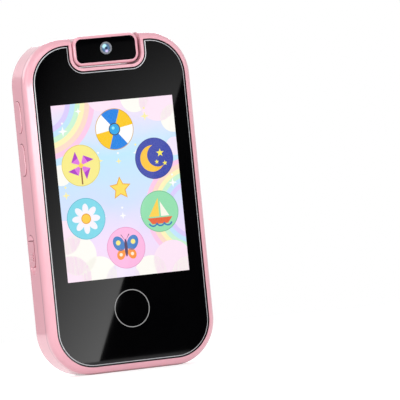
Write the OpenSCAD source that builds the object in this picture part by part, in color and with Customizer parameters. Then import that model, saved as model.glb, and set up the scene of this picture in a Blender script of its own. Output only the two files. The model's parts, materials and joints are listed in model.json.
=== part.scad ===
// Toy cell phone with a flip-over camera head, two side buttons and a rubber port cover.
// It stands upright: +Z runs along its length, the screen faces -Y, and the origin is
// on the bottom edge, in the middle of the width and the depth. Millimetres.

/* [Body] */
// Width of the body
body_w = 58.4; // [54:0.2:76]
// Length of the body, standing on its short edge
body_h = 108.6; // [106:0.2:134]
// Depth from the front rim to the back panel
body_d = 14.5; // [14:0.1:18]
// Radius of the body's four corners, seen from the front
corner_r = 14.6; // [11:0.2:18]
// Radius of the soft edge all round the front and the back
edge_r = 3; // [1.5:0.1:3.6]
// Thickness of the side walls
wall = 1.6; // [1.3:0.1:1.9]
// Thickness of the rear case's floor, under the back panel
floor_t = 1.2; // [1:0.1:1.6]
// Depth of the front frame, from its rim to the parting line
frame_d = 3.85; // [3.2:0.05:4.6]

/* [Screen side] */
// Width of the front rim, between the body's outline and the glass
bezel = 2.5; // [2:0.1:3.2]
// Thickness of the front glass
glass_t = 1; // [0.7:0.1:1.2]
// How far the glass lies behind the front rim
glass_recess = 0.1; // [0:0.05:0.3]
// Thickness of the adhesive ring under the glass
glue_t = 0.2; // [0.1:0.05:0.3]
// Thickness of the ledge that carries the glass
ledge_t = 1.2; // [0.8:0.1:1.6]
// Width of the picture area
screen_w = 42.7; // [34:0.1:44]
// Height of the picture area
screen_h = 57; // [46:0.1:60]
// Height of the picture's middle above the bottom edge
screen_z = 58.8; // [57:0.1:62]
// Blank border round the picture area, on the screen module
screen_border = 2.6; // [2:0.1:3]
// Height of the touch key's middle above the bottom edge
key_z = 20; // [19:0.1:21]
// Diameter of the touch key
key_dia = 12; // [9:0.1:12.4]

/* [Camera head] */
// Width of the flip-over head
head_w = 23; // [19:0.1:27]
// Radius of the head's round back, which is half its height
head_r = 4.85; // [4.5:0.05:5.2]
// Radius of the head's corners, seen from the front
head_corner_r = 3; // [1.5:0.1:3.4]
// Radius of the soft edge round the head's flat face
head_edge_r = 0.8; // [0.3:0.1:0.9]
// How far the head's flat face lies behind the front rim
head_recess = 0.5; // [0.3:0.05:1]
// How far the head stands above the top edge
head_proud = 0.15; // [0:0.05:0.5]
// Gap between the head and the notch it turns in
head_gap = 0.6; // [0.35:0.05:0.7]
// Gap between the head and the rib that keeps light out of the notch
rib_gap = 0.15; // [0.1:0.01:0.2]
// Width of the rim round the notch
notch_rim = 0.95; // [0.8:0.05:1.4]
// Wall of the head's two shells
head_wall = 1.2; // [0.9:0.1:1.3]
// Width of the frame round the head's black window
window_margin = 1.1; // [0.9:0.1:1.5]
// Thickness of the window
window_t = 0.7; // [0.5:0.1:0.9]
// Outer diameter of the lens ring
lens_dia = 4; // [3.4:0.1:4.6]
// Height of the lens above the head's axis
lens_rise = 0.4; // [0:0.1:0.6]
// Radius of the two pivot pins
pin_r = 1.5; // [1.3:0.05:1.6]

/* [Side controls] */
// Length of each side button
button_l = 10.3; // [8:0.1:12.4]
// Width of each side button
button_w = 4.2; // [3.4:0.1:4.6]
// How far the buttons stand out of the side
proud = 0.25; // [0.1:0.05:0.5]
// How far the port cover stands out of the side
cover_proud = 0.1; // [0.05:0.05:0.3]
// Travel of each side button
button_travel = 0.5; // [0.3:0.05:0.6]
// Height of the upper button's middle
upper_button_z = 84.65; // [83:0.05:86]
// Height of the lower button's middle
lower_button_z = 70.9; // [70:0.05:72]
// Length of the port cover
cover_l = 10.4; // [10.2:0.1:12]
// Width of the port cover
cover_w = 4.4; // [4.2:0.1:5]
// Height of the port's middle
port_z = 41.4; // [40:0.1:43]
// How far the buttons and the port lie behind the middle of the depth
side_row_y = 1.45; // [1.2:0.05:1.6]

/* [Back] */
// Distance from the body's outline to the edge of the back panel
panel_margin = 4.5; // [4:0.1:5.5]
// Thickness of the back panel
panel_t = 1; // [0.8:0.1:1.2]
// Height of the speaker's middle
speaker_z = 31.5; // [31:0.1:33]
// Diameter of the speaker
speaker_dia = 20; // [17:0.1:21]
// Thickness of the speaker
speaker_t = 4.2; // [3.2:0.1:4.2]
// Length of one sound slot
slot_l = 3; // [2.2:0.1:3.6]
// Width of one sound slot
slot_w = 1.2; // [0.8:0.1:1.4]
// Distance from slot to slot along a row
slot_pitch = 4.8; // [4.4:0.1:5.2]
// Distance from row to row
slot_row_pitch = 3; // [2.6:0.1:3.6]
// Distance of the flash below the head's axis
flash_drop = 8.5; // [8.4:0.1:9]
// Diameter of the flash window
flash_dia = 2.5; // [1.8:0.1:2.8]

/* [Inside] */
// Thickness of the circuit board
board_t = 1; // [0.8:0.1:1.2]
// Thickness of the screen's glass cell
cell_t = 1.3; // [1:0.1:1.5]
// Thickness of the backlight behind it
backlight_t = 1.8; // [1.2:0.1:1.9]
// Width of the battery
battery_w = 36; // [26:0.5:38]
// Height of the battery
battery_h = 38; // [28:0.5:39]
// Thickness of the battery
battery_t = 4.5; // [3.4:0.1:4.6]
// Radius of the four screw bosses that join the case
boss_r = 2.1; // [1.9:0.1:2.2]
// Distance of those bosses from the sides
boss_in = 7.7; // [7.4:0.1:8.4]

/* [Fits] */
// Clearance round a shaft that turns
running_fit = 0.05; // [0.03:0.01:0.09]
// Clearance between pieces that are put together by hand
seat_gap = 0.1; // [0.05:0.01:0.15]
// Clearance round the side buttons
button_gap = 0.15; // [0.1:0.01:0.25]
// Clearance round the port cover and its plug
cover_gap = 0.15; // [0.12:0.01:0.25]

/* [Hidden] */
$fn = 64;

// Planes across the depth, from the front rim to the back
front_y = -body_d/2;
back_y = body_d/2;
glass_y = front_y + glass_recess;
glue_y = glass_y + glass_t;
ledge_y = glue_y + glue_t;
ledge_end_y = ledge_y + ledge_t;
split_y = front_y + frame_d;
cell_end_y = ledge_y + cell_t;
backlight_end_y = cell_end_y + backlight_t;
panel_y = back_y - panel_t;
floor_y = panel_y - floor_t;

// The board's back face carries the socket and the switches on the buttons' line
usb_t = 3.26;
usb_w = 8.94;
usb_l = 7.35;
board_back_y = side_row_y - usb_t/2 - 0.02;
board_y = board_back_y - board_t;

// The head turns about this line, which runs along X
axis_z = body_h + head_proud - head_r;
head_y = front_y + head_recess;
head_split_y = -2.2;
notch_w = head_w + 2*head_gap;
notch_z = axis_z - head_r - head_gap;
notch_r = head_corner_r + head_gap;
window_w = head_w - 2*window_margin;
window_h = 2*head_r - 2*(window_margin - 0.1);
window_r = head_corner_r - window_margin;
rib_half = 1;
head_end_wall = 2.1;
lens_z = axis_z + lens_rise;

// Pivot: bush, ring and pin flange, from the notch into the body
bush_x = notch_w/2;
bush_l = 3.6;
bush_r = 2.6;
bush_flange_r = bush_r + 0.5;
bush_boss_r = 3.3;
flange_t = 0.5;
ring_t = 0.6;
ring_x = bush_x + bush_l + flange_t;
pin_flange_x = ring_x + ring_t + 2*running_fit;
pin_flange_t = 0.6;
pin_end_x = pin_flange_x + pin_flange_t;
pin_in_x = head_w/2 - head_end_wall;
lead_r = 0.6;
lead_bore_r = 0.9;

// Screw bosses and board edges
boss_x = body_w/2 - boss_in;
boss_low_z = corner_r - 1.6;
boss_high_z = body_h - corner_r + 1.5;
board_w = body_w - 2*wall - 4;
board_low_z = boss_low_z + boss_r + 1.9;
board_high_z = boss_high_z - boss_r - 1;
board_tab_w = 24;
board_tab_z = notch_z - notch_rim - 0.9;
post_r = 2;
post_x = board_w/2 - 4.1;
post_high_x = post_x - 3.2;
post_low_z = board_low_z + 3;
post_high_z = board_high_z - 2.9;

// Side buttons and their switches, on the side at -X
side_x = -body_w/2;
inner_x = side_x + wall;
flange_grow = 0.7;
button_flange_t = 0.8;
button_flange_x = inner_x + seat_gap;
switch_x = -board_w/2;
switch_l = 3;
switch_w = 6;
stem_r = 0.9;
stem_in = 0.5;

// Port cover, its plug and its pocket
pocket_depth = 1.3;
cover_t = pocket_depth - cover_gap;
port_pad_t = 1;
port_face_x = inner_x + port_pad_t;
cover_x = side_x - cover_proud;
hinge_r = (cover_t + cover_proud)/2;
hinge_x = cover_x + hinge_r;
hinge_z = port_z + cover_l/2 - cover_w/2 - 0.2;
plug_depth = 0.9;
rib_r = 0.22;
dimple_r = 2.2;
dimple_depth = 1.5;

// Ribbon of the screen module
flex_w = 16;
flex_drop = 1.5;

// Strap eye, on the side at +X, behind the front frame's lip
eye_y = 1;
eye_z = corner_r - 2.2;
eye_h = 5.6;
eye_w = 3.4;
eye_depth = 2.8;
strap_bar_r = 0.7;
strap_bar_x = body_w/2 - 0.5 - strap_bar_r;

// Screw sizes: head radius, shank radius
case_screw = [1.7, 0.8];
board_screw = [1.5, 0.7];
head_screw = [1.15, 0.5];
head_screw_x = head_w/2 - 3.9;
head_screw_z = axis_z - 2.3;
head_boss_r = 1.4;
camera_board_w = 2*(head_screw_x - head_boss_r - 1.1);
thread_gap = 0.05;
wire_sides = 8;

// Shared shapes. "Plates" lie across Y, from y0 to y1.

// Turns a flat X-Z drawing into a plate from y0 to y1
module plate(y0, y1) {
  translate([0, y1, 0])
    rotate([90, 0, 0])
      linear_extrude(y1 - y0)
        children();
}

// Turns a flat Y-Z drawing into a plate from x0 to x1
module side_plate(x0, x1) {
  translate([x0, 0, 0])
    rotate([90, 0, 90])
      linear_extrude(x1 - x0)
        children();
}

// Rectangle with round corners about (cx, cy)
module rounded(w, h, r, cx = 0, cy = 0) {
  translate([cx, cy]) {
    square([w - 2*r, h], center = true);
    square([w, h - 2*r], center = true);
    for (sx = [-1, 1], sy = [-1, 1])
      translate([sx*(w/2 - r), sy*(h/2 - r)])
        circle(r);
  }
}

// Stadium, longer along the second direction
module stadium(w, h, cx = 0, cy = 0) {
  translate([cx, cy]) {
    square([w, h - w], center = true);
    for (s = [-1, 1])
      translate([0, s*(h - w)/2])
        circle(w/2);
  }
}

// The body's outline seen from the front, drawn smaller by d all round
module outline(d) {
  rounded(body_w - 2*d, body_h - 2*d, corner_r - d, 0, body_h/2);
}

// The notch's outline seen from the front, larger by g, open at the top
module notch(g = 0) {
  w = notch_w + 2*g;
  r = notch_r + g;
  low = notch_z - g;
  high = body_h + 10;
  translate([-w/2, low + r])
    square([w, high - low - r]);
  translate([-w/2 + r, low])
    square([w - 2*r, r + 1]);
  for (s = [-1, 1])
    translate([s*(w/2 - r), low + r])
      circle(r);
}

// Section through one edge of a slab: full depth, round at both outer corners
module slab_section(span, d, e) {
  square([span, d - 2*e], center = true);
  square([span - 2*e, d], center = true);
  for (sx = [-1, 1], sy = [-1, 1])
    translate([sx*(span/2 - e), sy*(d/2 - e)])
      circle(e);
}

// Slab across Y with corner radius r and edges rounded by e, centred on the origin
module soft_slab(w, h, d, r, e) {
  linear_extrude(h - 2*r, center = true)
    slab_section(w, d, e);
  rotate([0, 90, 0])
    linear_extrude(w - 2*r, center = true)
      slab_section(h, d, e);
  for (sx = [-1, 1], sz = [-1, 1])
    translate([sx*(w/2 - r), 0, sz*(h/2 - r)])
      rotate([90, 0, 0])
        rotate_extrude()
          intersection() {
            slab_section(2*r, d, e);
            translate([0, -d])
              square([r + 1, 2*d]);
          }
}

// Pill across Y, longer along Z, with edges rounded by e, centred on the origin
module soft_pill(w, h, d, e) {
  linear_extrude(h - w, center = true)
    slab_section(w, d, e);
  for (s = [-1, 1])
    translate([0, 0, s*(h - w)/2])
      rotate([90, 0, 0])
        rotate_extrude()
          intersection() {
            slab_section(w, d, e);
            translate([0, -d])
              square([w, 2*d]);
          }
}

// The body's outer form, without any opening
module body_form() {
  translate([0, 0, body_h/2])
    soft_slab(body_w, body_h, body_d, corner_r, edge_r);
}

// Cylinder along Y from y0 to y1
module rod_y(r, y0, y1, x = 0, z = 0) {
  translate([x, y1, z])
    rotate([90, 0, 0])
      cylinder(r = r, h = y1 - y0);
}

// Cylinder along X from x0 to x1, on the line (y, z)
module rod_x(r, x0, x1, y = 0, z = 0) {
  translate([x0, y, z])
    rotate([0, 90, 0])
      cylinder(r = r, h = x1 - x0);
}

// Pan-head screw along Y: head from y0, shank to y1, dir is +1 or -1 along Y
module screw(size, y0, head_t, length, dir) {
  y_head = y0 + dir*head_t;
  y_tip = y_head + dir*length;
  difference() {
    rod_y(size[0], min(y0, y_head), max(y0, y_head));
    for (a = [0, 90])
      translate([0, y0, 0])
        rotate([0, a, 0])
          cube([size[0]*1.2, head_t, size[0]*0.3], center = true);
  }
  rod_y(size[1], min(y_head, y_tip), max(y_head, y_tip));
}

// Direction of a wire's route at its point i, and the ring of points round it there
function unit(v) = v/norm(v);
function route_dir(route, i) = unit(route[min(i + 1, len(route) - 1)] - route[max(i - 1, 0)]);
function route_ring(route, i, r) =
  let (along = route_dir(route, i), across = unit(cross(along, [0, 1, 0])), up = cross(across, along))
  [for (k = [0 : wire_sides - 1]) route[i]
    + r*cos(360*k/wire_sides)*across + r*sin(360*k/wire_sides)*up];

// Wire of radius r swept along a route whose runs are never parallel to Y
module wire(route, r) {
  rings = len(route);
  points = [for (i = [0 : rings - 1]) each route_ring(route, i, r)];
  first = [for (k = [0 : wire_sides - 1]) k];
  last = [for (k = [wire_sides - 1 : -1 : 0]) (rings - 1)*wire_sides + k];
  sides = [
    for (i = [0 : rings - 2], k = [0 : wire_sides - 1])
      let (a = i*wire_sides + k, b = i*wire_sides + (k + 1) % wire_sides)
        [b, a, a + wire_sides, b + wire_sides]
  ];
  polyhedron(points = points, faces = concat([first], sides, [last]));
}

// Places of the four case bosses and of the four board posts, as [x, z]
case_points = [
  [-boss_x, boss_low_z], [boss_x, boss_low_z], [-boss_x, boss_high_z], [boss_x, boss_high_z]
];
post_points = [
  [-post_x, post_low_z], [post_x, post_low_z], [-post_high_x, post_high_z], [post_high_x, post_high_z]
];

// Seven sound slots in rows of two, three and two
module sound_slots(y0, y1) {
  plate(y0, y1)
    for (row = [-1, 0, 1], i = [0 : row == 0 ? 2 : 1])
      translate([(i - (row == 0 ? 1 : 0.5))*slot_pitch, speaker_z + row*slot_row_pitch])
        rotate(90)
          stadium(slot_w, slot_l);
}

// Case

module rear_case() {
  color("pink") {
    difference() {
      body_form();
      // Everything in front of the parting line belongs to the front frame
      translate([-body_w, -3*body_d + split_y, -1])
        cube([2*body_w, 3*body_d, body_h + 2]);
      // Hollow, which leaves a wall round the notch
      plate(split_y - 1, floor_y)
        difference() {
          outline(wall);
          notch(notch_rim);
        }
      // Seat of the back panel, which leaves the notch's rim
      plate(panel_y, back_y + 1)
        difference() {
          outline(panel_margin);
          notch(notch_rim);
        }
      plate(split_y - 1, back_y + 1)
        notch();
      sound_slots(floor_y - 1, panel_y + 1);
      rod_y(flash_dia/2 + seat_gap, floor_y - 1, panel_y + 1, 0, axis_z - flash_drop);
      for (p = case_points) {
        rod_y(case_screw[0] + seat_gap, floor_y + 0.4, panel_y + 1, p[0], p[1]);
        rod_y(case_screw[1] + seat_gap, floor_y - 1, panel_y, p[0], p[1]);
      }
      for (s = [0, 1])
        mirror([s, 0, 0]) {
          rod_x(bush_r + 0.02, bush_x - 1, bush_x + bush_l, 0, axis_z);
          // Room for the flanges of the bush and the pin
          rod_x(bush_flange_r + seat_gap, bush_x + bush_l, pin_end_x + seat_gap, 0, axis_z);
        }
      for (z = [upper_button_z, lower_button_z])
        side_plate(side_x - 1, inner_x + 1)
          stadium(button_w + 2*button_gap, button_l + 2*button_gap, side_row_y, z);
      cover_pocket();
      strap_pocket();
      strap_bar_hole();
    }
    pivot_bosses();
    notch_rib();
    board_posts();
    port_pad();
    strap_pad();
  }
}

// Rib round the notch, close to the head, that keeps light out of the gap
module notch_rib() {
  difference() {
    plate(-rib_half, rib_half)
      intersection() {
        difference() {
          notch(0.2);
          notch(rib_gap - head_gap);
        }
        translate([-notch_w, 0])
          square([2*notch_w, body_h - 1]);
      }
    rod_x(bush_r + 0.02, -notch_w, notch_w, 0, axis_z);
  }
}

// Posts that the board is screwed to
module board_posts() {
  for (p = post_points)
    difference() {
      rod_y(post_r, board_back_y, floor_y, p[0], p[1]);
      rod_y(board_screw[1] + thread_gap, board_back_y - 1, floor_y - 0.6, p[0], p[1]);
    }
}

// Bosses on the notch's side walls, each with the bore for a bush
module pivot_bosses() {
  x0 = bush_x + notch_rim - 0.2;
  x1 = bush_x + bush_l;
  for (s = [0, 1])
    mirror([s, 0, 0])
      difference() {
        union() {
          rod_x(bush_boss_r, x0, x1, 0, axis_z);
          // Web from the boss to the case's top wall
          translate([x0, -0.8, axis_z])
            cube([x1 - x0, 1.6, body_h - axis_z - wall + 0.3]);
        }
        rod_x(bush_r + 0.02, x0 - 1, x1 + 1, 0, axis_z);
      }
}

// Pocket in the side wall for the port cover, with the plug's mouth and a nail notch
module cover_pocket() {
  side_plate(side_x - 1, side_x + pocket_depth)
    stadium(cover_w + 2*cover_gap, cover_l + 2*cover_gap, side_row_y, port_z);
  port_mouth();
  translate([side_x + dimple_depth - dimple_r, side_row_y, port_z - cover_l/2 - 0.3])
    sphere(dimple_r);
}

module port_mouth() {
  side_plate(side_x, port_face_x + 1)
    stadium(usb_t + 0.1, usb_w + 0.1, side_row_y, port_z);
}

// Thicker stretch of wall behind the pocket
module port_pad() {
  difference() {
    side_plate(inner_x - 0.2, port_face_x)
      rounded(6.6, cover_l + 3.4, 0.8, side_row_y, port_z);
    port_mouth();
    side_plate(side_x - 1, side_x + pocket_depth)
      stadium(cover_w + 2*cover_gap, cover_l + 2*cover_gap, side_row_y, port_z);
  }
}

// Eye for a wrist strap: a pocket in the side with a bar across it
module strap_pocket() {
  side_plate(body_w/2 - eye_depth, body_w/2 + 1)
    rounded(eye_w, eye_h, 1.2, eye_y, eye_z);
}

module strap_pad() {
  difference() {
    side_plate(body_w/2 - eye_depth - 1, body_w/2 - wall + 0.2)
      rounded(eye_w + 2.6, eye_h + 2.4, 1.6, eye_y, eye_z);
    strap_pocket();
    strap_bar_hole();
  }
}

module strap_bar_hole() {
  rod_y(strap_bar_r + 0.01, eye_y - eye_w/2 - 0.9, eye_y + eye_w/2 + 0.9, strap_bar_x, eye_z);
}

module strap_bar() {
  color("silver")
    rod_y(strap_bar_r, eye_y - eye_w/2 - 0.8, eye_y + eye_w/2 + 0.8, strap_bar_x, eye_z);
}

module front_frame() {
  key_hole_r = key_dia/2 + 0.3;
  module_w = screen_w + 2*screen_border;
  module_h = screen_h + 2*screen_border;
  color("pink") {
    difference() {
      body_form();
      translate([-body_w, split_y, -1])
        cube([2*body_w, 3*body_d, body_h + 2]);
      // Seat of the glass, which leaves the notch's rim
      plate(front_y - 1, ledge_y)
        difference() {
          outline(bezel - seat_gap);
          notch(notch_rim);
        }
      // Window in the ledge for the screen module, and the touch key's hole
      plate(ledge_y - 1, ledge_end_y + 1) {
        rounded(module_w + 0.4, module_h + 0.4, 0.6, 0, screen_z);
        translate([-flex_w/2 - 0.5, screen_z - module_h/2 - flex_drop - 0.3])
          square([flex_w + 1, flex_drop + 0.6]);
        translate([0, key_z])
          circle(key_hole_r);
      }
      // Hollow behind the ledge
      plate(ledge_end_y, split_y + 1)
        difference() {
          outline(wall);
          notch(notch_rim);
        }
      plate(front_y - 1, split_y + 1)
        notch();
      for (p = case_points)
        rod_y(case_screw[1] + thread_gap, ledge_end_y - 0.4, split_y + 1, p[0], p[1]);
    }
    for (p = case_points)
      difference() {
        rod_y(boss_r, ledge_end_y - 0.2, floor_y - 0.02, p[0], p[1]);
        rod_y(case_screw[1] + thread_gap, ledge_end_y - 0.4, floor_y + 1, p[0], p[1]);
      }
    // Lip that locates the frame in the rear case
    plate(split_y - 0.4, split_y + 1.2)
      difference() {
        outline(wall + seat_gap);
        outline(wall + seat_gap + 0.7);
        translate([-notch_w/2 - notch_rim - 6, notch_z - 2])
          square([notch_w + 2*notch_rim + 12, body_h]);
      }
    // Feet of the lip, on the frame's wall
    plate(split_y - 1, split_y - 0.4)
      difference() {
        outline(wall - 0.1);
        outline(wall + seat_gap + 0.7);
        translate([-notch_w/2 - notch_rim - 6, notch_z - 2])
          square([notch_w + 2*notch_rim + 12, body_h]);
      }
  }
}

module back_panel() {
  color("pink")
    difference() {
      plate(panel_y, back_y)
        difference() {
          outline(panel_margin + seat_gap);
          notch(notch_rim + seat_gap);
        }
      sound_slots(panel_y - 1, back_y + 1);
      rod_y(flash_dia/2 + seat_gap, panel_y - 1, back_y + 1, 0, axis_z - flash_drop);
    }
}

// Screen side

module front_glass() {
  color("black")
    plate(glass_y, glue_y)
      difference() {
        outline(bezel);
        notch(notch_rim + seat_gap);
      }
}

module glass_adhesive() {
  color("dimgray")
    plate(glue_y, ledge_y)
      difference() {
        outline(bezel + 0.2);
        notch(notch_rim + 0.3);
        rounded(screen_w + 2*screen_border + 0.6, screen_h + 2*screen_border + 0.6, 0.7, 0, screen_z);
        translate([0, key_z])
          circle(key_dia/2 + 0.3);
      }
}

module screen_cell() {
  color("lavender")
    plate(glue_y + 0.02, cell_end_y)
      rounded(screen_w + 2*screen_border, screen_h + 2*screen_border, 0.5, 0, screen_z);
}

module backlight() {
  color("white")
    plate(cell_end_y, backlight_end_y)
      rounded(screen_w + 2*screen_border - 0.6, screen_h + 2*screen_border - 0.6, 0.8, 0, screen_z);
}

// Ribbon from the screen's lower edge back to its connector on the board
module screen_flex() {
  low_z = screen_z - screen_h/2 - screen_border;
  bend_z = low_z - flex_drop;
  y0 = cell_end_y - 0.4;
  t = 0.2;
  color("orange") {
    translate([-flex_w/2, y0, bend_z])
      cube([flex_w, t, flex_drop]);
    translate([-flex_w/2, y0, bend_z])
      cube([flex_w, board_y - 0.9 - y0, t]);
  }
}

// Foam strips between the backlight and the board
module screen_pads() {
  color("dimgray")
    for (s = [-1, 1])
      plate(backlight_end_y, board_y)
        rounded(4, screen_h*0.6, 1, s*(screen_w/2 - 6), screen_z);
}

module touch_key_foil() {
  color("goldenrod")
    rod_y(key_dia/2, glue_y, glue_y + 0.8, 0, key_z);
}

module touch_key_foam() {
  color("gray")
    rod_y(1.8, glue_y + 0.8, board_y, 0, key_z);
}

// Electronics

module main_board() {
  color("green")
    difference() {
      plate(board_y, board_back_y) {
        translate([-board_w/2, board_low_z])
          square([board_w, board_high_z - board_low_z]);
        translate([-board_tab_w/2, board_high_z - 1])
          square([board_tab_w, board_tab_z - board_high_z + 1]);
      }
      for (p = post_points)
        rod_y(board_screw[1] + 0.2, board_y - 1, board_back_y + 1, p[0], p[1]);
    }
}

// A flat part of w by h on the board's back face, centred at (x, z)
module on_board(w, h, t, x, z) {
  plate(board_back_y, board_back_y + t)
    translate([x, z])
      square([w, h], center = true);
}

module board_chips() {
  side = speaker_dia/2 + 6.4;
  color("black") {
    on_board(8.6, 8.6, 1.2, side, speaker_z + 1);
    on_board(5.6, 7.6, 1, -side + 1.2, speaker_z - 3.5);
    on_board(4, 4, 0.9, side - 5, speaker_z + 8);
    on_board(5, 5, 0.9, 5.5, battery_z() + battery_h/2 + 5);
    on_board(3, 2, 0.7, -side + 3, speaker_z + 4);
  }
}

// Sockets that the leads and the ribbon plug into
module board_connectors() {
  color("ivory") {
    on_board(4.4, 3, 2, -9, board_high_z - 2);
    on_board(4, 3, 2, battery_w/2 - 2, screen_z - battery_h/2 + 3.4);
    on_board(4, 2.6, 2, -speaker_dia/2 - 5.8, board_low_z + 2.2);
    plate(board_y - 0.9, board_y)
      translate([0, screen_z - screen_h/2 - screen_border - 1.6])
        square([18, 1.6], center = true);
  }
}

module card_slot() {
  color("silver")
    difference() {
      plate(board_y - 1.4, board_y)
        translate([0, screen_z])
          square([12, 14], center = true);
      plate(board_y - 1.1, board_y - 0.2)
        translate([0, screen_z - 1])
          square([11.2, 15], center = true);
    }
}

module memory_card() {
  color("black")
    plate(board_y - 1, board_y - 0.3)
      translate([0, screen_z - 1.2])
        square([11, 14.6], center = true);
}

module side_switches() {
  color("dimgray")
    for (z = [upper_button_z, lower_button_z])
      difference() {
        translate([switch_x, board_back_y, z - switch_w/2])
          cube([switch_l, usb_t, switch_w]);
        rod_x(stem_r + 0.1, switch_x - 1, switch_x + stem_in + button_travel + 0.3, side_row_y, z);
      }
}

module usb_socket() {
  shell = 0.3;
  color("silver")
    difference() {
      side_plate(port_face_x, port_face_x + usb_l)
        stadium(usb_t, usb_w, side_row_y, port_z);
      side_plate(port_face_x - 1, port_face_x + usb_l - 1)
        stadium(usb_t - 2*shell, usb_w - 2*shell, side_row_y, port_z);
    }
  color("black")
    side_plate(port_face_x + 1, port_face_x + usb_l - 0.5)
      rounded(0.7, usb_w - 2.4, 0.3, side_row_y, port_z);
}

module microphone() {
  color("silver")
    rod_y(2, board_back_y, board_back_y + 1.6, speaker_dia/2 + 3.4, board_low_z + 2.6);
}

module battery() {
  pouch_y = floor_y - 0.3 - battery_t;
  color("silver")
    plate(pouch_y, floor_y - 0.3)
      rounded(battery_w, battery_h, 1.5, 0, battery_z());
}

// Height of the battery's middle: it clears the speaker below and the posts above
function battery_z() = screen_z + 6.4;

module battery_tape() {
  color("yellow")
    plate(floor_y - 0.3, floor_y)
      rounded(battery_w*0.7, battery_h*0.7, 1, 0, battery_z());
}

// Two wires from the battery's lower edge to its socket on the board
module battery_lead() {
  low_z = battery_z() - battery_h/2;
  y0 = floor_y - 0.3 - battery_t/2;
  y1 = board_back_y + 1;
  x0 = battery_w/2 - 8;
  x1 = battery_w/2 - 4;
  color("red")
    for (i = [0, 1])
      wire([
        [x0 - 1.6*i, y0, low_z],
        [x0 - 1.6*i, y0, low_z - 0.8 - 1.2*i],
        [x0 + 0.4 - 1.6*i, y0 - 0.1, low_z - 1.3 - 1.2*i],
        [x0 + 1.2 - 1.6*i, (y0 + y1)/2, low_z - 1.6 - 1.2*i],
        [x1 - 0.8, y1, low_z - 1.6 - 1.2*i],
        [x1, y1, low_z - 1.6 - 1.2*i]
      ], 0.4);
}

module speaker() {
  y1 = floor_y - 0.5;
  color("dimgray") {
    rod_y(speaker_dia/2, y1 - speaker_t*0.4, y1, 0, speaker_z);
    rod_y(speaker_dia/2 - 2, y1 - speaker_t, y1 - speaker_t*0.4, 0, speaker_z);
  }
}

module speaker_gasket() {
  color("black")
    difference() {
      rod_y(speaker_dia/2, floor_y - 0.5, floor_y, 0, speaker_z);
      rod_y(speaker_dia/2 - 1.2, floor_y - 1, floor_y + 1, 0, speaker_z);
    }
}

// Two wires from the speaker's rim to their socket on the board
module speaker_lead() {
  x0 = -speaker_dia/2 + 2.6;
  y0 = floor_y - 0.5 - speaker_t*0.4 - 0.45;
  z0 = speaker_z - speaker_dia/2 + 4.6;
  x1 = -speaker_dia/2 - 3.8;
  y1 = board_back_y + 1;
  z1 = board_low_z + 2.7;
  color("black")
    for (shift = [[0, 0, 0], [0.7, 0, -0.78]])
      wire([
        for (p = [
          [x0 - 0.9, y0, z0 - 0.2],
          [x0 - 2.2, y0, z0 - 1.1],
          [x0 - 3.2, (y0 + y1)/2, z0 - 2],
          [x1 + 0.8, y1, z1],
          [x1, y1, z1]
        ]) p + shift
      ], 0.35);
}

module flash_led() {
  color("gold")
    on_board(2.4, 2.4, 0.8, 0, axis_z - flash_drop);
}

// Clear light pipe from the flash out to the back panel's face
module flash_lens() {
  color("ivory") {
    rod_y(flash_dia/2, floor_y - 0.2, back_y, 0, axis_z - flash_drop);
    rod_y(flash_dia/2 + 0.45, board_back_y + 0.9, floor_y, 0, axis_z - flash_drop);
  }
}

// Fasteners

module case_screws() {
  color("silver")
    for (p = case_points)
      translate([p[0], 0, p[1]])
        screw(case_screw, panel_y - 0.05, 0.7, 6, -1);
}

module board_screws() {
  color("silver")
    for (p = post_points)
      translate([p[0], 0, p[1]])
        screw(board_screw, board_y - 0.7, 0.7, 4.4, 1);
}

module head_screws() {
  color("silver")
    for (s = [-1, 1])
      translate([s*head_screw_x, 0, head_screw_z])
        screw(head_screw, head_y + window_t + 0.15, 0.6, 5.6, 1);
}

// Pivot

module pivot_bushes() {
  color("white")
    for (s = [0, 1])
      mirror([s, 0, 0])
        difference() {
          union() {
            rod_x(bush_r, bush_x, bush_x + bush_l, 0, axis_z);
            rod_x(bush_flange_r, bush_x + bush_l, ring_x, 0, axis_z);
          }
          rod_x(pin_r + running_fit, bush_x - 1, ring_x + 1, 0, axis_z);
        }
}

module friction_rings() {
  color("black")
    for (s = [0, 1])
      mirror([s, 0, 0])
        difference() {
          rod_x(bush_r, ring_x + 0.01, ring_x + ring_t, 0, axis_z);
          rod_x(pin_r + running_fit, ring_x - 1, ring_x + ring_t + 1, 0, axis_z);
        }
}

module pivot_pins() {
  color("silver")
    for (s = [0, 1])
      mirror([s, 0, 0])
        difference() {
          union() {
            rod_x(pin_r, pin_in_x, pin_flange_x + 0.1, 0, axis_z);
            rod_x(bush_r - 0.1, pin_flange_x, pin_end_x, 0, axis_z);
          }
          rod_x(lead_bore_r, pin_in_x - 1, pin_end_x + 1, 0, axis_z);
        }
}

// Lead from the camera, out through the hollow pin and down to the board
module camera_lead() {
  turn_x = -pin_end_x - 0.9;
  y1 = board_back_y + 1.1;
  color("black")
    wire([
      [-camera_board_w/2 - 0.4, 0, axis_z],
      [turn_x + 1.1, 0, axis_z],
      [turn_x + 0.4, 0, axis_z - 0.3],
      [turn_x, 0, axis_z - 1.2],
      [turn_x, 0.4, axis_z - 5.4],
      [turn_x + 1.6, 0.8, axis_z - 8.6],
      [-13.6, y1, board_high_z - 2.3],
      [-11.2, y1, board_high_z - 2.3]
    ], lead_r);
}

// Camera head

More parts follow.
